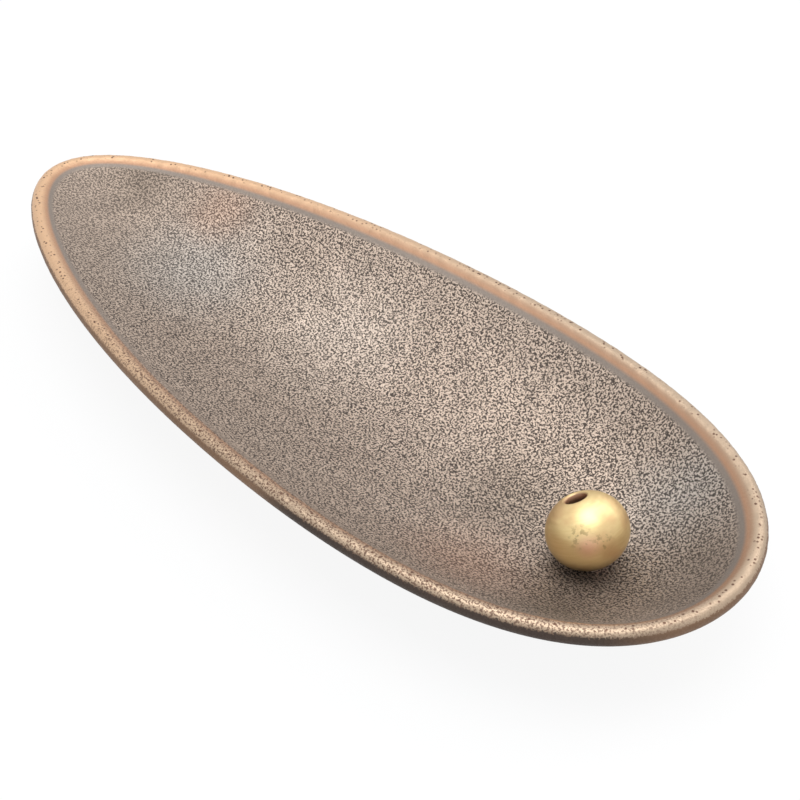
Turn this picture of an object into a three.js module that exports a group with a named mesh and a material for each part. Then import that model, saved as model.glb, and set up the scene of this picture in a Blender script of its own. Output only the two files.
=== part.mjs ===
// Incense holder: a shallow egg-shaped tray cast in metal, standing on four small pads, and a loose brass
// bead near the tray's wide end, with a bore through it that holds the stick.
// Millimetres, +Z up, +X along the tray towards its wide end. The origin is on the surface that the holder
// stands on, under the middle of the tray's length and width.
import * as THREE from 'three';
import { mergeVertices } from 'three/addons/utils/BufferGeometryUtils.js';

// Tray, overall
const TRAY_LENGTH = 150;
const TRAY_WIDTH = 61;
const LIP_THICKNESS = 2.8; // the rim is rounded over to this diameter
const FLOOR_THICKNESS = 2.4;
const DISH_DEPTH = 11.3; // from the top of the lip down to the floor
// The outline is an ellipse whose half width is multiplied by 1 + sum(EGG_TERMS[k] * cos((k + 1) * angle))
const EGG_TERMS = [0.26, 0.051, 0.023];
// The dish is lowest at one point on its long axis, where the bead lies. From there the floor rises to the
// rim all round as a power of the way out, so a higher power is a flatter floor with a steeper edge.
const LOW_POINT_TO_WIDE_TIP = 24.8;
const RISE_POWER_SIDE = 2;
const RISE_POWER_WIDE = 2;
const RISE_POWER_NARROW = 3.2;

// Flat oval foot under the tray
const FOOT_BELOW_BELLY = 0.5;
const FOOT_LENGTH = 88;
const FOOT_WIDTH = 28;
const FOOT_TO_WIDE_TIP = 21; // from the foot's end to the tray's wide tip
const FOOT_DRAFT = 1.2; // the foot's lower edge is drawn in by this much

// Pads stuck under the foot
const PAD_DIAMETER = 7;
const PAD_THICKNESS = 1.2;
const PAD_CORNER = 0.25;
const PAD_FROM_FOOT_END = 18; // centre of a pad to the end of the foot
const PAD_FROM_FOOT_SIDE = 8; // centre of a pad to the side of the foot

// Bead
const BEAD_DIAMETER = 12.1;
const BEAD_POLE_HEIGHT = 11.2; // height along the bore of the rounded form before it is drilled
const BORE_DIAMETER = 3.1;
const BORE_CHAMFER = 0.3;
const BORE_LEAN_DEG = 30; // the bore leans from upright towards the narrow end

// Free space between pieces that touch
const SEAT_GAP = 0.3;

// How finely the curved forms are divided
const AROUND_TRAY = 88;
const DISH_RINGS = 13;
const LIP_STEPS = 10;
const BELLY_RINGS = 7;
const AROUND_BEAD = 40;
const BEAD_STEPS = 14;
const AROUND_PAD = 36;

// Levels and places worked out from the sizes above
const LIP_RADIUS = LIP_THICKNESS / 2;
const FOOT_Z = PAD_THICKNESS + SEAT_GAP;
const FLOOR_TOP = FOOT_Z + FOOT_BELOW_BELLY + FLOOR_THICKNESS;
const FLOOR_MIDDLE = FLOOR_TOP - FLOOR_THICKNESS / 2;
const LIP_CENTRE_Z = FLOOR_TOP + DISH_DEPTH - LIP_RADIUS;
const WALL_RISE = LIP_CENTRE_Z - FLOOR_MIDDLE;
const RIM_HALF_LENGTH = TRAY_LENGTH / 2 - LIP_RADIUS;
const RIM_HALF_WIDTH = TRAY_WIDTH / 2 - LIP_RADIUS;
const LOW_POINT = new THREE.Vector2(TRAY_LENGTH / 2 - LOW_POINT_TO_WIDE_TIP, 0);
const FOOT_HALF_LENGTH = FOOT_LENGTH / 2;
const FOOT_HALF_WIDTH = FOOT_WIDTH / 2;
const FOOT_CENTRE = new THREE.Vector2(TRAY_LENGTH / 2 - FOOT_TO_WIDE_TIP - FOOT_HALF_LENGTH, 0);

const castCopper = new THREE.MeshStandardMaterial({ color: 0x8f7a68, metalness: 0.85, roughness: 0.5 });
const satinBrass = new THREE.MeshStandardMaterial({ color: 0xd2ab5a, metalness: 0.95, roughness: 0.35 });
const darkRubber = new THREE.MeshStandardMaterial({ color: 0x26241f, metalness: 0.0, roughness: 0.9 });

// Egg outline

function eggSwell(angle) {
  return EGG_TERMS.reduce((sum, term, k) => sum + term * Math.cos((k + 1) * angle), 1);
}

// Largest value of sin(angle) * eggSwell(angle), which the tray's width is shared out by
function widestSwell() {
  let widest = 0;
  for (let step = 1; step < 1000; step += 1) {
    const angle = (Math.PI * step) / 1000;
    widest = Math.max(widest, Math.sin(angle) * eggSwell(angle));
  }
  return widest;
}

const SWELL_SCALE = RIM_HALF_WIDTH / widestSwell();

// Point of the rim's centre line at an angle: 0 is the wide tip and PI the narrow one
function rimPoint(angle) {
  return new THREE.Vector2(RIM_HALF_LENGTH * Math.cos(angle), SWELL_SCALE * Math.sin(angle) * eggSwell(angle));
}

// Level direction square to the rim, pointing out of the tray
function rimOutward(angle) {
  const step = 1e-4;
  const along = rimPoint(angle + step).sub(rimPoint(angle - step));
  return new THREE.Vector2(along.y, -along.x).normalize();
}

// The tray's wall: a middle surface between the low point and the rim, with the dish on one side of it and
// the underside on the other. way is 0 at the low point and 1 on the rim.

function planPoint(angle, way) {
  return LOW_POINT.clone().lerp(rimPoint(angle), way);
}

function risePower(angle) {
  const towardsTip = Math.cos(angle) ** 2;
  const tipPower = Math.cos(angle) > 0 ? RISE_POWER_WIDE : RISE_POWER_NARROW;
  return THREE.MathUtils.lerp(RISE_POWER_SIDE, tipPower, towardsTip);
}

function wallSlope(angle, way) {
  const power = risePower(angle);
  const across = rimPoint(angle).sub(LOW_POINT).dot(rimOutward(angle));
  return Math.atan((WALL_RISE * power * way ** (power - 1)) / across);
}

// side is +1 for the dish and -1 for the underside
function wallPoint(angle, way, side) {
  const plan = planPoint(angle, way);
  const outward = rimOutward(angle);
  const slope = wallSlope(angle, way);
  const halfThickness = THREE.MathUtils.lerp(FLOOR_THICKNESS / 2, LIP_RADIUS, way);
  const level = -side * halfThickness * Math.sin(slope);
  const middle = FLOOR_MIDDLE + WALL_RISE * way ** risePower(angle);
  const height = middle + side * halfThickness * Math.cos(slope);
  return new THREE.Vector3(plan.x + level * outward.x, plan.y + level * outward.y, height);
}

// Half circle over the rim, from the dish (step 0) to the underside (step LIP_STEPS)
function lipPoint(angle, step) {
  const outward = rimOutward(angle);
  const rim = rimPoint(angle);
  const turn = Math.PI / 2 + wallSlope(angle, 1) - (Math.PI * step) / LIP_STEPS;
  const level = LIP_RADIUS * Math.cos(turn);
  const height = LIP_CENTRE_Z + LIP_RADIUS * Math.sin(turn);
  return new THREE.Vector3(rim.x + level * outward.x, rim.y + level * outward.y, height);
}

// Where the wall meets the foot, as a way from the low point to the rim, found by halving
function footWay(angle) {
  let inside = 0;
  let outside = 1;
  for (let turn = 0; turn < 40; turn += 1) {
    const way = (inside + outside) / 2;
    const plan = planPoint(angle, way);
    const reach = Math.hypot((plan.x - FOOT_CENTRE.x) / FOOT_HALF_LENGTH, plan.y / FOOT_HALF_WIDTH);
    if (reach < 1) inside = way;
    else outside = way;
  }
  return inside;
}

// Lower edge of the foot (share 1), or a smaller ring of its flat face, down to one point (share 0)
function footPoint(angle, share) {
  const edge = planPoint(angle, footWay(angle));
  const inward = edge.clone().sub(FOOT_CENTRE).normalize().multiplyScalar(FOOT_DRAFT);
  const plan = LOW_POINT.clone().lerp(edge.sub(inward), share);
  return new THREE.Vector3(plan.x, plan.y, FOOT_Z);
}

// Closed surface through rings of equal length, from the middle of the dish round to the middle of the foot
function closedFromRings(rings) {
  const around = rings[0].length;
  const positions = rings.flat().flatMap((point) => [point.x, point.y, point.z]);
  const index = [];
  for (let ring = 0; ring < rings.length - 1; ring += 1) {
    for (let i = 0; i < around; i += 1) {
      const next = (i + 1) % around;
      const a = ring * around + i;
      const b = ring * around + next;
      const c = a + around;
      const d = b + around;
      index.push(a, c, b, b, c, d);
    }
  }
  const geometry = new THREE.BufferGeometry();
  geometry.setAttribute('position', new THREE.Float32BufferAttribute(positions, 3));
  geometry.setIndex(index);
  return withoutFlatTriangles(mergeVertices(geometry, 1e-4));
}

// Drops the triangles that merging has closed up to a line
function withoutFlatTriangles(geometry) {
  const old = geometry.getIndex().array;
  const kept = [];
  for (let i = 0; i < old.length; i += 3) {
    const [a, b, c] = [old[i], old[i + 1], old[i + 2]];
    if (a !== b && b !== c && c !== a) kept.push(a, b, c);
  }
  geometry.setIndex(kept);
  geometry.computeVertexNormals();
  return geometry;
}

function ringOf(pointAt) {
  return Array.from({ length: AROUND_TRAY }, (_, i) => pointAt((2 * Math.PI * i) / AROUND_TRAY));
}

function makeTray() {
  const rings = [];
  for (let i = 0; i < DISH_RINGS; i += 1) {
    rings.push(ringOf((angle) => wallPoint(angle, i / DISH_RINGS, 1)));
  }
  for (let step = 0; step <= LIP_STEPS; step += 1) {
    rings.push(ringOf((angle) => lipPoint(angle, step)));
  }
  for (let i = 1; i <= BELLY_RINGS; i += 1) {
    rings.push(ringOf((angle) => wallPoint(angle, THREE.MathUtils.lerp(1, footWay(angle), i / BELLY_RINGS), -1)));
  }
  for (const share of [1, 0.5, 0]) {
    rings.push(ringOf((angle) => footPoint(angle, share)));
  }
  const tray = new THREE.Mesh(closedFromRings(rings), castCopper);
  tray.name = 'tray';
  return tray;
}

// A pad is a low disc with broken edges, turned about its own upright axis
function makePad(name, x, y) {
  const radius = PAD_DIAMETER / 2;
  const profile = [
    new THREE.Vector2(0, 0),
    new THREE.Vector2(radius - PAD_CORNER, 0),
    new THREE.Vector2(radius, PAD_CORNER),
    new THREE.Vector2(radius, PAD_THICKNESS - PAD_CORNER),
    new THREE.Vector2(radius - PAD_CORNER, PAD_THICKNESS),
    new THREE.Vector2(0, PAD_THICKNESS),
  ];
  const geometry = new THREE.LatheGeometry(profile, AROUND_PAD);
  const pad = new THREE.Mesh(geometry, darkRubber);
  pad.name = name;
  pad.rotation.x = Math.PI / 2;
  pad.position.set(x, y, 0);
  return pad;
}

function makePads() {
  const reachX = FOOT_HALF_LENGTH - PAD_FROM_FOOT_END;
  const reachY = FOOT_HALF_WIDTH - PAD_FROM_FOOT_SIDE;
  const pads = [];
  for (const [endName, endSign] of [['wide', 1], ['narrow', -1]]) {
    for (const [sideName, sideSign] of [['left', 1], ['right', -1]]) {
      pads.push(makePad(`pad_${endName}_${sideName}`, FOOT_CENTRE.x + endSign * reachX, sideSign * reachY));
    }
  }
  return pads;
}

// The bead's section beside its bore: up the bore, over the chamfer and down the rounded outside
function beadProfile() {
  const radius = BEAD_DIAMETER / 2;
  const poleHalf = BEAD_POLE_HEIGHT / 2;
  const boreRadius = BORE_DIAMETER / 2;
  const mouthRadius = boreRadius + BORE_CHAMFER;
  const mouthTurn = Math.acos(mouthRadius / radius);
  const mouthZ = poleHalf * Math.sin(mouthTurn);
  const profile = [new THREE.Vector2(boreRadius, -mouthZ + BORE_CHAMFER)];
  for (let i = 0; i <= BEAD_STEPS; i += 1) {
    const turn = THREE.MathUtils.lerp(-mouthTurn, mouthTurn, i / BEAD_STEPS);
    profile.push(new THREE.Vector2(radius * Math.cos(turn), poleHalf * Math.sin(turn)));
  }
  profile.push(new THREE.Vector2(boreRadius, mouthZ - BORE_CHAMFER));
  profile.push(profile[0].clone());
  return profile;
}

// How far the leaning bead reaches below its centre
function beadReachDown() {
  const lean = THREE.MathUtils.degToRad(BORE_LEAN_DEG);
  return Math.hypot((BEAD_POLE_HEIGHT / 2) * Math.cos(lean), (BEAD_DIAMETER / 2) * Math.sin(lean));
}

function makeBead() {
  const bead = new THREE.Mesh(new THREE.LatheGeometry(beadProfile(), AROUND_BEAD), satinBrass);
  bead.name = 'bead';
  bead.rotation.x = Math.PI / 2;
  const lean = new THREE.Group();
  lean.add(bead);
  lean.rotation.y = -THREE.MathUtils.degToRad(BORE_LEAN_DEG);
  lean.position.set(LOW_POINT.x, LOW_POINT.y, FLOOR_TOP + SEAT_GAP + beadReachDown());
  return lean;
}

const incenseHolder = new THREE.Group();
incenseHolder.add(makeTray(), ...makePads(), makeBead());

export default incenseHolder;
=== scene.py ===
"""An incense holder: a cast metal tray in the shape of an egg, with a loose drilled brass bead in it,
standing on four rubber pads. Lengths are in millimetres until the meshes are made, in metres."""
import math

import bpy
import numpy as np
from mathutils import Matrix, Vector


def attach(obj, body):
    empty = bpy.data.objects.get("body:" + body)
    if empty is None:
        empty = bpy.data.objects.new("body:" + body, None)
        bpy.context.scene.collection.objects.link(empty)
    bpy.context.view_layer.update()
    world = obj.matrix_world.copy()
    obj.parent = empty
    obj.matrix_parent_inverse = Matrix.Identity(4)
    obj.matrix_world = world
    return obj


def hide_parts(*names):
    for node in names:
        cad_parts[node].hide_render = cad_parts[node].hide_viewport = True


MM = 0.001

# Tray
TRAY_LENGTH = 150
TRAY_WIDTH = 61
LIP_THICKNESS = 2.8
FLOOR_THICKNESS = 2.4
DISH_DEPTH = 11.3
EGG_TERMS = (0.26, 0.051, 0.023)
LOW_POINT_TO_WIDE_TIP = 24.8
RISE_POWER_SIDE = 2
RISE_POWER_WIDE = 2
RISE_POWER_NARROW = 3.2
FOOT_BELOW_BELLY = 0.5
FOOT_LENGTH = 88
FOOT_WIDTH = 28
FOOT_TO_WIDE_TIP = 21
FOOT_DRAFT = 1.2

# Pads
PAD_DIAMETER = 7
PAD_THICKNESS = 1.2
PAD_CORNER = 0.25
PAD_BEVEL = 0.12
PAD_HOLLOW_DEPTH = 0.1
PAD_HOLLOW_MARGIN = 1.1
PAD_HOLLOW_SLOPE = 0.3
PAD_FROM_FOOT_END = 18
PAD_FROM_FOOT_SIDE = 8
PAD_GLUE_GAP = 0.3

# Bead
BEAD_DIAMETER = 12.1
BEAD_POLE_HEIGHT = 11.2
BORE_DIAMETER = 3.1
BORE_CHAMFER = 0.3
BORE_LEAN_DEG = 30
BEAD_GAP = 0.08

# Skin of the casting
WRINKLE_PERIOD = 0.64
WRINKLE_HEIGHT = 0.05
DENT_PERIOD = 9
DENT_HEIGHT = 0.05
CHIP_PERIOD = 2.6
CHIP_HEIGHT = 0.02
WRINKLE_SEED = 3
DENT_SEED = 5
CHIP_SEED = 8
RIPPLE_SPREAD = 0.4

# How strong the wrinkles are, from 0 to 1
LEAST_GRAIN = 0.1
BELLY_GRAIN = 0.12
LIP_GRAIN = 0.22
FRONT_LIP_GRAIN = 0.4
NARROW_END_GRAIN = 0.4
WIDE_END_LOSS = 0.5

# Where the skin changes along the tray, from the first place to the second
NARROW_END = (-66, -15)
WIDE_END = (56, 68)
FRONT_START = (-60, -5)
COPPER_TURNS = (-60, 30)

# Where it changes across the tray, outwards from the lip's crest
GRAIN_INSIDE = (-2.0, -3.4)
LIP_GRAIN_START = (-2.2, -1.2)
LIP_GRAIN_END = (3.0, 2.2)
DENT_START = (-1, -6)
RELIEF_END = (8, 4)
BAND_START = (-3.2, -2.4)
COPPER_START = (-2.2, -1.5)
COPPER_FULL = (-1.7, -0.3)
CREST_START = (-0.9, -0.3)
CREST_END = (0.9, 0.3)
OUTER_EDGE = (1.2, 2.2)
OUTER_START = (1.7, 2.05)
FRONT_SHIFT = 0.55
RAGGED_WIDTH = 1.1

# Fineness of the meshes
AROUND_TRAY = 1500
DISH_RINGS = 140
LIP_STEPS = 18
BELLY_RINGS = 24
FOOT_RINGS = 5
AROUND_BEAD = 128
BEAD_STEPS = 72
BORE_STEPS = 12
AROUND_PAD = 64
PAD_CORNER_STEPS = 6
RIM_STEPS = 8000
HALVINGS = 40
PATCH_SIZE = 160
PATCH_CELLS = 1000

# Least values, which keep a power and a logarithm off zero, and where the search for the foot starts
LEAST_WAY = 1e-6
LEAST_WAVE = 1e-9
FIRST_WAY = 0.02

# Camera, from the outline of the rim in the photograph
CAMERA_PLACE = (144.6, -131.5, 170.5)
CAMERA_AIM = (14.87, -2.09, 14.3)
CAMERA_LENS = 72
CAMERA_SENSOR = 36
CAMERA_CLIP = 10

# The floor lies just below the pads, so that no two faces share a place
FLOOR_Z = -0.02
FLOOR_REACH = 1500
FLOOR_COLOUR = (0.9, 0.9, 0.9, 1)
FLOOR_GLOW = 0.9
WHITE = (1, 1, 1, 1)

# Light: the world's, and each lamp's name, place, side and watts
WORLD_COLOUR = (0.93, 0.96, 1.0, 1)
WORLD_STRENGTH = 0.72
LAMP_AIM = (10, 0, 8)
LAMPS = (
    ("overhead", (0, 0, 520), 420, 1.7),
    ("behind", (60, 420, 380), 380, 0.7),
)

# Worked out from the sizes above
LIP_RADIUS = LIP_THICKNESS / 2
FOOT_Z = PAD_THICKNESS + PAD_GLUE_GAP
FLOOR_TOP = FOOT_Z + FOOT_BELOW_BELLY + FLOOR_THICKNESS
FLOOR_MIDDLE = FLOOR_TOP - FLOOR_THICKNESS / 2
LIP_CENTRE_Z = FLOOR_TOP + DISH_DEPTH - LIP_RADIUS
WALL_RISE = LIP_CENTRE_Z - FLOOR_MIDDLE
RIM_HALF_LENGTH = TRAY_LENGTH / 2 - LIP_RADIUS
RIM_HALF_WIDTH = TRAY_WIDTH / 2 - LIP_RADIUS
LOW_POINT = np.array([TRAY_LENGTH / 2 - LOW_POINT_TO_WIDE_TIP, 0.0])
FOOT_CENTRE = np.array([TRAY_LENGTH / 2 - FOOT_TO_WIDE_TIP - FOOT_LENGTH / 2, 0.0])
SPINE_HALF = RIM_HALF_LENGTH - RIM_HALF_WIDTH


def smooth(value, low, high):
    """0 below low, 1 above high and an even curve between them. high may be the lower one."""
    share = np.clip((value - low) / (high - low), 0, 1)
    return share * share * (3 - 2 * share)


def swell(t):
    return np.sin(t) * (1 + sum(term * np.cos((k + 1) * t) for k, term in enumerate(EGG_TERMS)))


SWELL_SCALE = RIM_HALF_WIDTH / swell(np.linspace(0, math.pi, RIM_STEPS // 2 + 1)).max()


def rim_point(t):
    """The middle of the lip seen from above. t runs from the wide tip round by +Y."""
    return np.stack([RIM_HALF_LENGTH * np.cos(t), SWELL_SCALE * swell(t)], -1)


def rim_outward(t):
    step = 1e-4
    along = rim_point(t + step) - rim_point(t - step)
    along /= np.linalg.norm(along, axis=-1, keepdims=True)
    return np.stack([along[..., 1], -along[..., 0]], -1)


def rise_power(t):
    end = np.where(np.cos(t) > 0, RISE_POWER_WIDE, RISE_POWER_NARROW)
    return RISE_POWER_SIDE + (end - RISE_POWER_SIDE) * np.cos(t) ** 2


def wall_slope(t, way):
    """The wall's angle to the level, way of the way from the low point to the rim."""
    power = rise_power(t)
    run = ((rim_point(t) - LOW_POINT) * rim_outward(t)).sum(-1)
    return np.arctan(WALL_RISE * power * np.maximum(way, LEAST_WAY) ** (power - 1) / run)


def wall_point(t, way, side):
    """A point of the dish, side 1, or of the belly under it, side -1."""
    slope = wall_slope(t, way)
    half = FLOOR_THICKNESS / 2 + (LIP_RADIUS - FLOOR_THICKNESS / 2) * way
    plan = LOW_POINT + (rim_point(t) - LOW_POINT) * way[..., None]
    plan = plan - rim_outward(t) * (side * half * np.sin(slope))[..., None]
    z = FLOOR_MIDDLE + WALL_RISE * way ** rise_power(t) + side * half * np.cos(slope)
    return np.concatenate([plan, z[..., None]], -1)


def find_way(plan):
    """The direction t and the share of the way from the low point to the rim, of points seen from above."""
    t = np.linspace(-math.pi, math.pi, RIM_STEPS + 1)
    rim = rim_point(t) - LOW_POINT
    bearing = np.arctan2(rim[:, 1], rim[:, 0])
    bearing[0] = -math.pi
    bearing[-1] = math.pi
    away = plan - LOW_POINT
    found = np.interp(np.arctan2(away[..., 1], away[..., 0]), bearing, t)
    reach = np.linalg.norm(rim_point(found) - LOW_POINT, axis=-1)
    return found, np.clip(np.linalg.norm(away, axis=-1) / reach, 0, 1)


def foot_way(t):
    """How far out the belly meets the foot's oval, by halving."""
    low = np.full_like(t, FIRST_WAY)
    high = np.ones_like(t)
    for _ in range(HALVINGS):
        middle = (low + high) / 2
        away = wall_point(t, middle, -1)[:, :2] - FOOT_CENTRE
        outside = (away[:, 0] / FOOT_LENGTH * 2) ** 2 + (away[:, 1] / FOOT_WIDTH * 2) ** 2 > 1
        high = np.where(outside, middle, high)
        low = np.where(outside, low, middle)
    return (low + high) / 2


def ripples(period, seed):
    """A square patch of ripples of about one period in all directions, from -1 to 1, that tiles."""
    waves = np.fft.fftfreq(PATCH_CELLS, PATCH_SIZE / PATCH_CELLS)
    wave = np.hypot(waves[:, None], waves[None, :])
    gain = np.exp(-(np.log(wave * period + LEAST_WAVE) / RIPPLE_SPREAD) ** 2)
    white = np.random.default_rng(seed).standard_normal((PATCH_CELLS, PATCH_CELLS))
    patch = np.fft.ifft2(np.fft.fft2(white) * gain).real
    return np.tanh(patch / patch.std())


def read_patch(patch, place):
    cell = place * PATCH_CELLS / PATCH_SIZE
    corner = np.floor(cell).astype(int)
    share = cell - corner
    total = 0
    for i in (0, 1):
        for j in (0, 1):
            weight = np.abs(1 - i - share[..., 0]) * np.abs(1 - j - share[..., 1])
            at = (corner + (i, j)) % PATCH_CELLS
            total = total + weight * patch[at[..., 0], at[..., 1]]
    return total


def tray_levels():
    """The tray's skin as rings, from the dish's spine over the lip and down to the middle of the foot.
    Each ring has its points, its places laid out flat, and its distances outwards from the lip's crest."""
    t = np.linspace(0, 2 * math.pi, AROUND_TRAY, endpoint=False)
    rim = rim_point(t)
    outward = rim_outward(t)
    slope = wall_slope(t, np.ones_like(t))
    spine = np.stack([SPINE_HALF * np.cos(t), 0 * t], -1)
    width = np.linalg.norm(rim - spine, axis=-1)
    points, flats, profiles = [], [], []

    def add(point, flat, profile):
        points.append(point)
        flats.append(flat)
        profiles.append(profile)

    for ring in range(DISH_RINGS):
        share = ring / DISH_RINGS
        found, way = find_way(spine + (rim - spine) * share)
        point = wall_point(found, way, 1)
        add(point, point[:, :2], -LIP_RADIUS * slope - width * (1 - share))
    inner = rim - outward * (LIP_RADIUS * np.sin(slope))[:, None]
    for step in range(LIP_STEPS + 1):
        arc = math.pi * step / LIP_STEPS
        turn = math.pi / 2 + slope - arc
        plan = rim + outward * (LIP_RADIUS * np.cos(turn))[:, None]
        point = np.concatenate([plan, (LIP_CENTRE_Z + LIP_RADIUS * np.sin(turn))[:, None]], -1)
        add(point, inner + outward * LIP_RADIUS * arc, LIP_RADIUS * (arc - slope))
    last_way = foot_way(t)
    for ring in range(1, BELLY_RINGS + 1):
        point = wall_point(t, 1 + (last_way - 1) * ring / BELLY_RINGS, -1)
        path = np.linalg.norm(point - points[-1], axis=-1)
        add(point, flats[-1] + outward * path[:, None], profiles[-1] + path)
    edge = points[-1][:, :2] - FOOT_CENTRE
    drawn_in = 1 - FOOT_DRAFT / np.linalg.norm(edge, axis=-1)
    for ring in range(FOOT_RINGS):
        plan = FOOT_CENTRE + edge * (drawn_in * (1 - ring / FOOT_RINGS))[:, None]
        point = np.concatenate([plan, np.full((AROUND_TRAY, 1), FOOT_Z)], -1)
        path = np.linalg.norm(point - points[-1], axis=-1)
        add(point, flats[-1] + outward * path[:, None], profiles[-1] + path)
    return t, outward, points, flats, profiles


def ring_faces(rings):
    """Faces between rings. The first ring is folded onto the spine, the last closes on one point."""
    j = np.arange(AROUND_TRAY)
    folded = AROUND_TRAY // 2 + 1
    index = [np.minimum(j, AROUND_TRAY - j)]
    index += [folded + (ring - 1) * AROUND_TRAY + j for ring in range(1, rings)]
    faces = []
    for lower, upper in zip(index[:-1], index[1:]):
        corners = np.stack([lower, upper, np.roll(upper, -1), np.roll(lower, -1)], -1)
        faces += [[c for k, c in enumerate(f) if c != f[k - 1]] for f in corners.tolist()]
    middle = folded + (rings - 1) * AROUND_TRAY
    faces += [[a, middle, b] for a, b in zip(index[-1].tolist(), np.roll(index[-1], -1).tolist())]
    return faces


def new_mesh(name, points, faces, attributes):
    mesh = bpy.data.meshes.new(name)
    mesh.from_pydata((np.asarray(points) * MM).tolist(), [], faces)
    for key, values in attributes.items():
        made = mesh.attributes.new(key, "FLOAT", "POINT")
        made.data.foreach_set("value", np.asarray(values, dtype=np.float32))
    mesh.shade_smooth()
    piece = bpy.data.objects.new(name, mesh)
    bpy.context.collection.objects.link(piece)
    return piece


def move_along_normals(piece, distance):
    mesh = piece.data
    normals = np.empty(len(mesh.vertices) * 3, dtype=np.float32)
    mesh.vertex_normals.foreach_get("vector", normals)
    place = np.empty_like(normals)
    mesh.vertices.foreach_get("co", place)
    place += normals * np.repeat(np.asarray(distance, dtype=np.float32) * MM, 3)
    mesh.vertices.foreach_set("co", place)
    mesh.update()


def make_tray():
    t, outward, points, flats, profiles = tray_levels()
    folded = AROUND_TRAY // 2 + 1

    def gather(levels, last):
        first = levels[0][:folded]
        return np.concatenate([first, *levels[1:], np.asarray(last)[None]])

    front = np.clip(-outward[:, 1], 0, 1) * smooth(RIM_HALF_LENGTH * np.cos(t), *FRONT_START)
    place = gather(points, [*FOOT_CENTRE, FOOT_Z])
    flat = gather(flats, flats[-1][0])
    profile = gather(profiles, profiles[-1][0])
    facing = gather([front] * len(points), 0.0)
    inside = smooth(profile, *GRAIN_INSIDE)
    calm = NARROW_END_GRAIN + (1 - NARROW_END_GRAIN) * smooth(place[:, 0], *NARROW_END)
    calm *= 1 - WIDE_END_LOSS * smooth(place[:, 0], *WIDE_END)
    on_lip = smooth(profile, *LIP_GRAIN_START) * smooth(profile, *LIP_GRAIN_END)
    grain = LEAST_GRAIN + (1 - LEAST_GRAIN) * inside * calm
    grain += on_lip * (LIP_GRAIN + FRONT_LIP_GRAIN * facing)
    grain[profile > LIP_GRAIN_END[0]] = BELLY_GRAIN
    wrinkle = read_patch(ripples(WRINKLE_PERIOD, WRINKLE_SEED), flat)
    dent = read_patch(ripples(DENT_PERIOD, DENT_SEED), flat)
    chip = read_patch(ripples(CHIP_PERIOD, CHIP_SEED), flat)
    tray = new_mesh(
        "tray_casting",
        place,
        ring_faces(len(points)),
        {"wrinkle": wrinkle, "grain": grain, "profile": profile, "facing": facing},
    )
    height = WRINKLE_HEIGHT * wrinkle * grain
    height += DENT_HEIGHT * dent * smooth(profile, *DENT_START)
    height += CHIP_HEIGHT * chip * on_lip
    move_along_normals(tray, height * smooth(profile, *RELIEF_END))
    return tray


def make_bead():
    """An oblate bead turned about its bore, which leans towards the narrow end."""
    side = BEAD_DIAMETER / 2
    pole = BEAD_POLE_HEIGHT / 2
    bore = BORE_DIAMETER / 2
    mouth = bore + BORE_CHAMFER
    first = math.asin(mouth / side)
    outline = []
    for step in range(BEAD_STEPS + 1):
        angle = first + (math.pi - 2 * first) * step / BEAD_STEPS
        outline.append((side * math.sin(angle), pole * math.cos(angle), 0.0))
    bottom = outline[-1][1] + BORE_CHAMFER
    top = outline[0][1] - BORE_CHAMFER
    for share in np.linspace(0, 1, BORE_STEPS + 1):
        outline.append((bore, bottom + (top - bottom) * share, 1.0))
    outline = np.array(outline)
    a = np.linspace(0, 2 * math.pi, AROUND_BEAD, endpoint=False)
    rings = len(outline)
    points = np.empty((rings, AROUND_BEAD, 3))
    points[..., 0] = outline[:, :1] * np.cos(a)
    points[..., 1] = outline[:, :1] * np.sin(a)
    points[..., 2] = outline[:, 1:2]
    latitude = points[..., 2].ravel().copy()
    in_bore = np.repeat(outline[:, 2], AROUND_BEAD)
    lean = np.array(Matrix.Rotation(-math.radians(BORE_LEAN_DEG), 3, "Y"))
    points = points.reshape(-1, 3) @ lean.T
    rise = FLOOR_TOP + BEAD_GAP - points[:, 2].min()
    points += (*LOW_POINT, rise)
    i, j = np.meshgrid(np.arange(rings), np.arange(AROUND_BEAD), indexing="ij")
    ring = i * AROUND_BEAD
    next_ring = (i + 1) % rings * AROUND_BEAD
    beside = (j + 1) % AROUND_BEAD
    faces = np.stack([ring + j, next_ring + j, next_ring + beside, ring + beside], -1)
    bead = new_mesh(
        "brass_bead",
        points,
        faces.reshape(-1, 4).tolist(),
        {"latitude": latitude, "in_bore": in_bore},
    )
    return bead, Vector((*LOW_POINT, rise))


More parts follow.
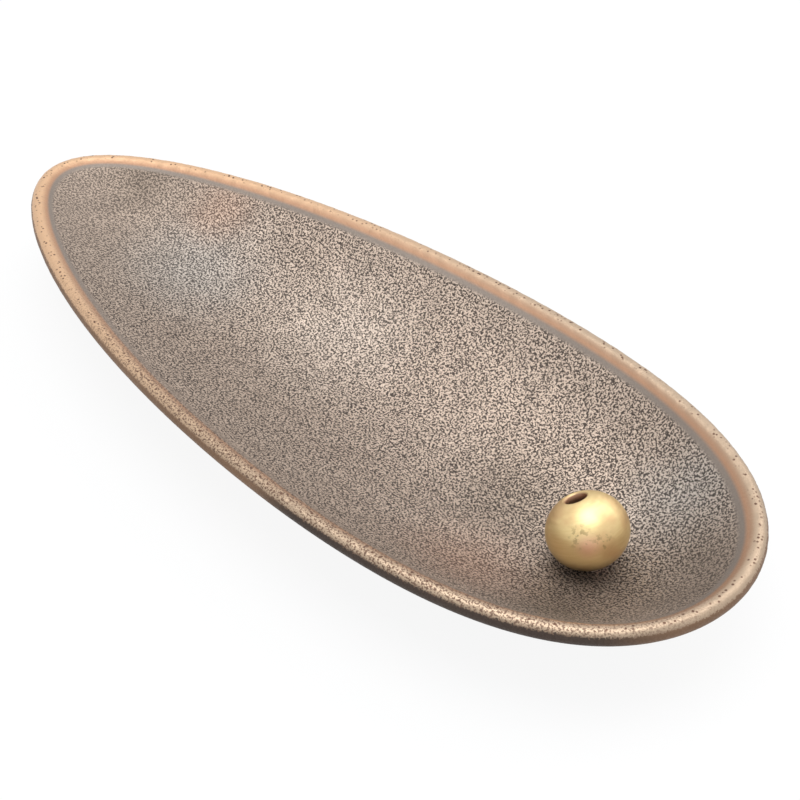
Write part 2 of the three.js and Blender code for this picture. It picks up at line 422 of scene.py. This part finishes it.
def make_pad(name, x, y):
    """A rubber pad with a rounded lower edge and a shallow moulded hollow, stuck to the foot."""
    radius = PAD_DIAMETER / 2
    hollow = radius - PAD_HOLLOW_MARGIN
    outline = [(0.0, PAD_HOLLOW_DEPTH), (hollow - PAD_HOLLOW_SLOPE, PAD_HOLLOW_DEPTH)]
    outline += [(hollow, 0.0), (radius - PAD_CORNER, 0.0)]
    for step in range(1, PAD_CORNER_STEPS + 1):
        turn = math.pi / 2 * step / PAD_CORNER_STEPS
        outline.append((radius - PAD_CORNER * (1 - math.sin(turn)), PAD_CORNER * (1 - math.cos(turn))))
    outline += [(radius, FOOT_Z - PAD_BEVEL), (radius - PAD_BEVEL, FOOT_Z), (0.0, FOOT_Z)]
    a = np.linspace(0, 2 * math.pi, AROUND_PAD, endpoint=False)
    points = [(x, y, outline[0][1])]
    for r, z in outline[1:-1]:
        points += [(x + r * c, y + r * s, z) for c, s in zip(np.cos(a), np.sin(a))]
    points.append((x, y, outline[-1][1]))
    rings = len(outline) - 2
    faces = []
    for k in range(AROUND_PAD):
        n = (k + 1) % AROUND_PAD
        faces.append((0, 1 + n, 1 + k))
        for ring in range(rings - 1):
            low = 1 + ring * AROUND_PAD
            high = low + AROUND_PAD
            faces.append((low + k, low + n, high + n, high + k))
        top = 1 + (rings - 1) * AROUND_PAD
        faces.append((top + k, top + n, len(points) - 1))
    return new_mesh(name, points, faces, {})


def add_node(tree, kind, sockets=(), **settings):
    """Adds a node. A socket that is given another socket is linked to it."""
    made = tree.nodes.new("ShaderNode" + kind)
    for name, value in settings.items():
        setattr(made, name, value)
    for socket, value in dict(sockets).items():
        if isinstance(value, bpy.types.NodeSocket):
            tree.links.new(value, made.inputs[socket])
        else:
            made.inputs[socket].default_value = value
    return made


def read_value(tree, name):
    return add_node(tree, "Attribute", attribute_name=name).outputs["Fac"]


def math_node(tree, operation, a, b):
    return add_node(tree, "Math", {0: a, 1: b}, operation=operation).outputs[0]


def vector_node(tree, operation, a, b):
    return add_node(tree, "VectorMath", {0: a, 1: b}, operation=operation).outputs[0]


def ease(tree, value, low, high, start=0.0, end=1.0):
    """start below low, end above high and a smooth step between them."""
    sockets = {"Value": value, "From Min": low, "From Max": high, "To Min": start, "To Max": end}
    return add_node(tree, "MapRange", sockets, interpolation_type="SMOOTHSTEP").outputs[0]


def mix(tree, factor, a, b):
    sockets = {0: factor}
    for socket, value in ((6, a), (7, b)):
        sockets[socket] = value if isinstance(value, bpy.types.NodeSocket) else (*value, 1)
    return add_node(tree, "Mix", sockets, data_type="RGBA").outputs[2]


def noise(tree, place, per_mm, detail=2.0):
    sockets = {"Vector": place, "Scale": per_mm / MM, "Detail": detail}
    return add_node(tree, "TexNoise", sockets).outputs["Fac"]


def near(tree, place, point, reach):
    """1 at a point of the object, in mm, and 0 farther off than reach."""
    centre = tuple(v * MM for v in point)
    away = add_node(tree, "VectorMath", {0: place, 1: centre}, operation="DISTANCE").outputs["Value"]
    return ease(tree, away, 0.0, reach * MM, 1.0, 0.0)


def new_material(name, metallic):
    material = bpy.data.materials.new(name)
    material.use_nodes = True
    tree = material.node_tree
    shader = tree.nodes["Principled BSDF"]
    shader.inputs["Metallic"].default_value = metallic
    place = add_node(tree, "TexCoord").outputs["Object"]
    return material, tree, shader, place


def bump(tree, shader, height, distance):
    made = add_node(tree, "Bump", {"Height": height, "Distance": distance * MM})
    tree.links.new(made.outputs[0], shader.inputs["Normal"])


# Patches on the dish: a place, its reach, and the colours of its hollows and crests
# The dark patches are painted shade, the pale one a painted highlight and the cool ones a painted
# reflection; the warm ones are a browner tone
PAINTED_REFLECTION = ((0.078, 0.068, 0.062), (0.47, 0.415, 0.365))
WARM = ((0.10, 0.057, 0.041), (0.48, 0.345, 0.265))
PAINTED_SHADE = ((0.05, 0.038, 0.031), (0.33, 0.26, 0.205))
PAINTED_HIGHLIGHT = ((0.10, 0.083, 0.07), (0.60, 0.50, 0.42))
PATCHES = (
    ((-39, 2, 8), 20, PAINTED_REFLECTION),
    ((57, 17, 8), 17, PAINTED_REFLECTION),
    ((36, 3, 5), 16, PAINTED_SHADE),
    ((56, -16, 10), 13, PAINTED_SHADE),
    ((-46, 14, 12), 10, WARM),
    ((41, -15, 8), 15, WARM),
    ((66, 4, 9), 17, PAINTED_SHADE),
    ((-61, 10, 13), 14, PAINTED_SHADE),
    ((-11, 8, 6), 20, PAINTED_HIGHLIGHT),
)

# Colours of the casting. A pair is mixed by a cloudy noise.
HOLLOW = (0.065, 0.050, 0.042)
CREST = (0.49, 0.39, 0.315)
PLAIN_BAND = ((0.21, 0.175, 0.15), (0.28, 0.235, 0.20))
COPPER_NARROW_END = (0.66, 0.43, 0.265)
COPPER_WIDE_END = (0.44, 0.33, 0.235)
COPPER_INNER_EDGE = (0.43, 0.25, 0.155)
COPPER_OUTER_EDGE = (0.40, 0.26, 0.17)
DARK_SPECK = (0.16, 0.10, 0.07)
PIT = (0.13, 0.07, 0.045)
OUTER_SIDE = ((0.17, 0.10, 0.06), (0.26, 0.16, 0.10))
OUTER_DARKEST = ((0.045, 0.032, 0.027), (0.085, 0.06, 0.047))
OUTER_DARKEST_PLACE = (44, -24, 12)
OUTER_DARKEST_REACH = 42

# Grain of the casting's noises, in cells per mm, and what its height is made of
FINE_GRAIN = 3.7
CLOUD_GRAIN = 0.06
PIT_GRAIN = 1.5
PIT_GROUPS = 0.5
WRINKLE_SHARE = 0.5
SPECK_SHARE = 4.2
CASTING_METALLIC = 0.7
BUMP_HEIGHT = 0.02
OUTER_ROUGHNESS = 0.1

# Ranges of the casting's shader. Two numbers are where a value goes from 0 to 1. Where there are four,
# it goes from the third to the fourth instead.
PATCH_CLOUD = (0.3, 0.6, 0.45, 1.0)
CREST_RISE = (-0.42, 0.42)
CREST_STRENGTH = (0.1, 0.9, 0.35, 1.0)
SPECK_RISE = (-0.5, 0.1)
PIT_HOLES = (0.24, 0.36, 1.0, 0.0)
PIT_GROUP_EDGE = (0.42, 0.52)
OUTER_DARKEST_EDGE = (0.1, 0.45)
ROUGHNESS = (-0.5, 0.6, 0.6, 0.42)
LIP_POLISH = (-2.3, -1.3, 0.0, -0.07)

# Colours of the brass and the rubber
BRASS = ((0.68, 0.51, 0.23), (0.86, 0.69, 0.38))
BRASS_CLOUD = (0.70, 0.49, 0.25)
# Painted shade on the bead's underside
BRASS_PAINTED_SHADE = (0.27, 0.20, 0.10)
BRASS_FLUSH = (0.80, 0.50, 0.32)
BRASS_STAIN = (0.30, 0.22, 0.10)
BRASS_BORE = (0.34, 0.20, 0.13)
RUBBER = ((0.012, 0.012, 0.011), (0.04, 0.038, 0.035))

# Marks on the bead: a place from its middle, and its reach
FLUSH_MARK = ((3.5, -4.3, 2.3), 2.6)
LEFT_STAIN = ((2.0, -4.5, 3.4), 2.6)
RIGHT_STAIN = ((4.5, -2.5, 3.0), 2.2)
STAIN_DEPTH = 0.7
# Heights from the bead's middle, in mm, where the painted shade of its underside starts and where it is
# full
BEAD_SHADE_RANGE = (1, -5)

# Turning lines: noise that changes fast along the bore and is drawn out around it, because this scale makes
# all its other coordinates small
LINE_SCALE = (0.12, 0.12, 0.12)

# Grain and ranges of the brass and the rubber, as for the casting
LINE_GRAIN = 3.2
BRASS_CLOUD_GRAIN = 0.25
BRASS_CLOUD_EDGE = (0.45, 0.7)
SCRATCH_GRAIN = 1.3
SCRATCH_EDGE = (0.52, 0.62)
BRASS_ROUGHNESS = (0.3, 0.7, 0.40, 0.50)
RUBBER_CLOUD_GRAIN = 0.8
RUBBER_ROUGHNESS = (0.3, 0.7, 0.6, 0.8)
RUBBER_GRAIN = 6.0
RUBBER_BUMP = 0.01


def patina_and_painted_light(tree, place, cloud):
    """The colours of the dish's hollows and of its crests, with their patches of browner tone and of
    painted shade, painted highlight and painted reflection.
    """
    hollow = HOLLOW
    crest = CREST
    uneven = ease(tree, cloud, *PATCH_CLOUD)
    for point, reach, colours in PATCHES:
        spot = math_node(tree, "MULTIPLY", near(tree, place, point, reach), uneven)
        hollow = mix(tree, spot, hollow, colours[0])
        crest = mix(tree, spot, crest, colours[1])
    return hollow, crest


def rubbed_copper(tree, place, profile, inner, speckle):
    """The lip's copper, with dark specks where speckle is 1 and with pits along its crest."""
    east = add_node(tree, "SeparateXYZ", {0: place}).outputs[0]
    wide_end = ease(tree, east, COPPER_TURNS[0] * MM, COPPER_TURNS[1] * MM)
    crest = mix(tree, wide_end, COPPER_NARROW_END, COPPER_WIDE_END)
    copper = mix(tree, ease(tree, inner, *COPPER_FULL), COPPER_INNER_EDGE, crest)
    copper = mix(tree, speckle, copper, DARK_SPECK)
    cells = add_node(tree, "TexVoronoi", {"Vector": place, "Scale": PIT_GRAIN / MM})
    holes = ease(tree, cells.outputs["Distance"], *PIT_HOLES)
    grouped = ease(tree, noise(tree, place, PIT_GROUPS), *PIT_GROUP_EDGE)
    pits = math_node(tree, "MULTIPLY", holes, grouped)
    rising = ease(tree, profile, *CREST_START)
    falling = ease(tree, profile, *CREST_END)
    on_crest = math_node(tree, "MULTIPLY", rising, falling)
    copper = mix(tree, math_node(tree, "MULTIPLY", pits, on_crest), copper, PIT)
    return mix(tree, ease(tree, profile, *OUTER_EDGE), copper, COPPER_OUTER_EDGE)


def outer_side(tree, place, cloud):
    """The brown outer side, nearly black around a place on the front towards the wide end."""
    darkest_part = ease(tree, near(tree, place, OUTER_DARKEST_PLACE, OUTER_DARKEST_REACH), *OUTER_DARKEST_EDGE)
    return mix(tree, darkest_part, mix(tree, cloud, *OUTER_SIDE), mix(tree, cloud, *OUTER_DARKEST))


def make_casting_material():
    material, tree, shader, place = new_material("cast_copper_skin", CASTING_METALLIC)
    wrinkle = read_value(tree, "wrinkle")
    grain = read_value(tree, "grain")
    profile = read_value(tree, "profile")
    facing = read_value(tree, "facing")
    fine = noise(tree, place, FINE_GRAIN, 1.0)
    cloud = noise(tree, place, CLOUD_GRAIN, 3.0)
    speck = math_node(tree, "MULTIPLY", math_node(tree, "SUBTRACT", fine, 0.5), SPECK_SHARE)
    height = math_node(tree, "ADD", math_node(tree, "MULTIPLY", wrinkle, WRINKLE_SHARE), speck)
    strength = ease(tree, grain, *CREST_STRENGTH)
    crest = math_node(tree, "SUBTRACT", ease(tree, height, *CREST_RISE), 0.5)
    crest = math_node(tree, "ADD", math_node(tree, "MULTIPLY", crest, strength), 0.5)
    colour = mix(tree, crest, *patina_and_painted_light(tree, place, cloud))
    # The band without grain just inside the lip, which fades out along the front side
    sheltered = math_node(tree, "SUBTRACT", 1.0, facing)
    band = math_node(tree, "MULTIPLY", ease(tree, profile, *BAND_START), sheltered)
    colour = mix(tree, band, colour, mix(tree, cloud, *PLAIN_BAND))
    # The rubbed lip, whose copper starts farther out along the front side
    inner = math_node(tree, "SUBTRACT", profile, math_node(tree, "MULTIPLY", facing, FRONT_SHIFT))
    deep = math_node(tree, "SUBTRACT", 1.0, ease(tree, height, *SPECK_RISE))
    speckle = math_node(tree, "MULTIPLY", deep, facing)
    copper = rubbed_copper(tree, place, profile, inner, speckle)
    colour = mix(tree, ease(tree, inner, *COPPER_START), colour, copper)
    # The outer side, which starts at a ragged line
    ragged = math_node(tree, "ADD", profile, math_node(tree, "MULTIPLY", fine, RAGGED_WIDTH))
    outside = ease(tree, ragged, *OUTER_START)
    colour = mix(tree, outside, colour, outer_side(tree, place, cloud))
    tree.links.new(colour, shader.inputs["Base Color"])
    rough = ease(tree, height, *ROUGHNESS)
    rough = math_node(tree, "ADD", rough, ease(tree, profile, *LIP_POLISH))
    rough = math_node(tree, "ADD", rough, math_node(tree, "MULTIPLY", outside, OUTER_ROUGHNESS))
    tree.links.new(rough, shader.inputs["Roughness"])
    bump(tree, shader, fine, BUMP_HEIGHT)
    return material


def mark(tree, place, centre, spot):
    """1 at a mark on the bead and 0 beyond its reach."""
    point, reach = spot
    return near(tree, place, centre + Vector(point), reach)


def make_brass_material(centre):
    material, tree, shader, place = new_material("satin_brass_skin", 1.0)
    latitude = read_value(tree, "latitude")
    in_bore = read_value(tree, "in_bore")
    from_bead = vector_node(tree, "SUBTRACT", place, tuple(centre * MM))
    scaled = vector_node(tree, "MULTIPLY", from_bead, LINE_SCALE)
    along = add_node(tree, "CombineXYZ", {"Z": math_node(tree, "MULTIPLY", latitude, MM)}).outputs[0]
    lines = noise(tree, vector_node(tree, "ADD", scaled, along), LINE_GRAIN, 4.0)
    cloud = noise(tree, place, BRASS_CLOUD_GRAIN, 3.0)
    colour = mix(tree, lines, *BRASS)
    colour = mix(tree, ease(tree, cloud, *BRASS_CLOUD_EDGE), colour, BRASS_CLOUD)
    # The lower part of the bead is darkened towards the bottom as painted shade
    height = add_node(tree, "SeparateXYZ", {0: from_bead}).outputs[2]
    underneath = ease(tree, height, BEAD_SHADE_RANGE[0] * MM, BEAD_SHADE_RANGE[1] * MM)
    colour = mix(tree, underneath, colour, BRASS_PAINTED_SHADE)
    colour = mix(tree, mark(tree, place, centre, FLUSH_MARK), colour, BRASS_FLUSH)
    left = mark(tree, place, centre, LEFT_STAIN)
    right = mark(tree, place, centre, RIGHT_STAIN)
    scratch = ease(tree, noise(tree, place, SCRATCH_GRAIN, 4.0), *SCRATCH_EDGE)
    stain = math_node(tree, "MULTIPLY", math_node(tree, "MAXIMUM", left, right), scratch)
    colour = mix(tree, math_node(tree, "MULTIPLY", stain, STAIN_DEPTH), colour, BRASS_STAIN)
    colour = mix(tree, in_bore, colour, BRASS_BORE)
    tree.links.new(colour, shader.inputs["Base Color"])
    tree.links.new(ease(tree, lines, *BRASS_ROUGHNESS), shader.inputs["Roughness"])
    bump(tree, shader, lines, BUMP_HEIGHT)
    return material


def make_rubber_material():
    material, tree, shader, place = new_material("dark_rubber_skin", 0.0)
    cloud = noise(tree, place, RUBBER_CLOUD_GRAIN, 4.0)
    tree.links.new(mix(tree, cloud, *RUBBER), shader.inputs["Base Color"])
    tree.links.new(ease(tree, cloud, *RUBBER_ROUGHNESS), shader.inputs["Roughness"])
    bump(tree, shader, noise(tree, place, RUBBER_GRAIN), RUBBER_BUMP)
    return material


def sees_background(tree):
    """1 for the camera's rays and for those that metal or glass sends on, otherwise 0."""
    path = add_node(tree, "LightPath")
    seen = math_node(tree, "MAXIMUM", path.outputs["Is Camera Ray"], path.outputs["Is Glossy Ray"])
    return math_node(tree, "MAXIMUM", seen, path.outputs["Is Transmission Ray"])


def make_floor():
    square = ((-1, -1), (1, -1), (1, 1), (-1, 1))
    corners = [(x * FLOOR_REACH, y * FLOOR_REACH, FLOOR_Z) for x, y in square]
    floor = new_mesh("floor", corners, [(0, 1, 2, 3)], {})
    material = bpy.data.materials.new("pale_floor")
    material.use_nodes = True
    tree = material.node_tree
    tree.nodes.remove(tree.nodes["Principled BSDF"])
    lit = add_node(tree, "BsdfDiffuse", {"Color": FLOOR_COLOUR}).outputs[0]
    plain = add_node(tree, "Emission", {"Color": WHITE, "Strength": 1.0}).outputs[0]
    share = math_node(tree, "MULTIPLY", sees_background(tree), FLOOR_GLOW)
    shown = add_node(tree, "MixShader", {0: share, 1: lit, 2: plain}).outputs[0]
    tree.links.new(shown, tree.nodes["Material Output"].inputs["Surface"])
    floor.data.materials.append(material)


def make_world():
    world = bpy.data.worlds.new("studio")
    bpy.context.scene.world = world
    world.use_nodes = True
    tree = world.node_tree
    seen = sees_background(tree)
    sockets = {"Color": WORLD_COLOUR, "Strength": WORLD_STRENGTH}
    light = add_node(tree, "Background", sockets).outputs[0]
    white = add_node(tree, "Background", {"Color": WHITE, "Strength": 1.0}).outputs[0]
    shown = add_node(tree, "MixShader", {0: seen, 1: light, 2: white}).outputs[0]
    tree.links.new(shown, tree.nodes["World Output"].inputs["Surface"])


def make_lamp(name, place, size, watts):
    data = bpy.data.lights.new(name, "AREA")
    data.size = size * MM
    data.energy = watts
    lamp = bpy.data.objects.new(name, data)
    lamp.location = Vector(place) * MM
    lamp.rotation_euler = (Vector(LAMP_AIM) - Vector(place)).to_track_quat("-Z", "Y").to_euler()
    bpy.context.collection.objects.link(lamp)


def make_camera():
    data = bpy.data.cameras.new("camera")
    data.lens = CAMERA_LENS
    data.sensor_width = CAMERA_SENSOR
    data.clip_start = CAMERA_CLIP * MM
    camera = bpy.data.objects.new("camera", data)
    camera.location = Vector(CAMERA_PLACE) * MM
    look = Vector(CAMERA_AIM) - Vector(CAMERA_PLACE)
    camera.rotation_euler = look.to_track_quat("-Z", "Y").to_euler()
    bpy.context.collection.objects.link(camera)
    bpy.context.scene.camera = camera


def place_piece(piece, material, body, node):
    piece.data.materials.append(material)
    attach(piece, body)
    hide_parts(node)


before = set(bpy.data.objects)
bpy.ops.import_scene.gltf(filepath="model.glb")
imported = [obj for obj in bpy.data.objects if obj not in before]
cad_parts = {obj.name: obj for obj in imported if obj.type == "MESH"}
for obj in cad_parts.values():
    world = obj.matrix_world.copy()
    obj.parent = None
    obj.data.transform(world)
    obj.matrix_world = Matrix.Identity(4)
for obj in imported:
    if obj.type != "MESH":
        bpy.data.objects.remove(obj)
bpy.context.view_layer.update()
bpy.context.scene.view_settings.view_transform = "Standard"
make_camera()
make_floor()
make_world()
for lamp in LAMPS:
    make_lamp(*lamp)
place_piece(make_tray(), make_casting_material(), "tray", "tray")
bead, bead_centre = make_bead()
place_piece(bead, make_brass_material(bead_centre), "bead", "bead")
rubber = make_rubber_material()
pad_x = FOOT_LENGTH / 2 - PAD_FROM_FOOT_END
pad_y = FOOT_WIDTH / 2 - PAD_FROM_FOOT_SIDE
for end, x in (("wide", FOOT_CENTRE[0] + pad_x), ("narrow", FOOT_CENTRE[0] - pad_x)):
    for side, y in (("left", pad_y), ("right", -pad_y)):
        pad = make_pad(f"rubber_{end}_{side}", x, y)
        place_piece(pad, rubber, "tray", f"pad_{end}_{side}")
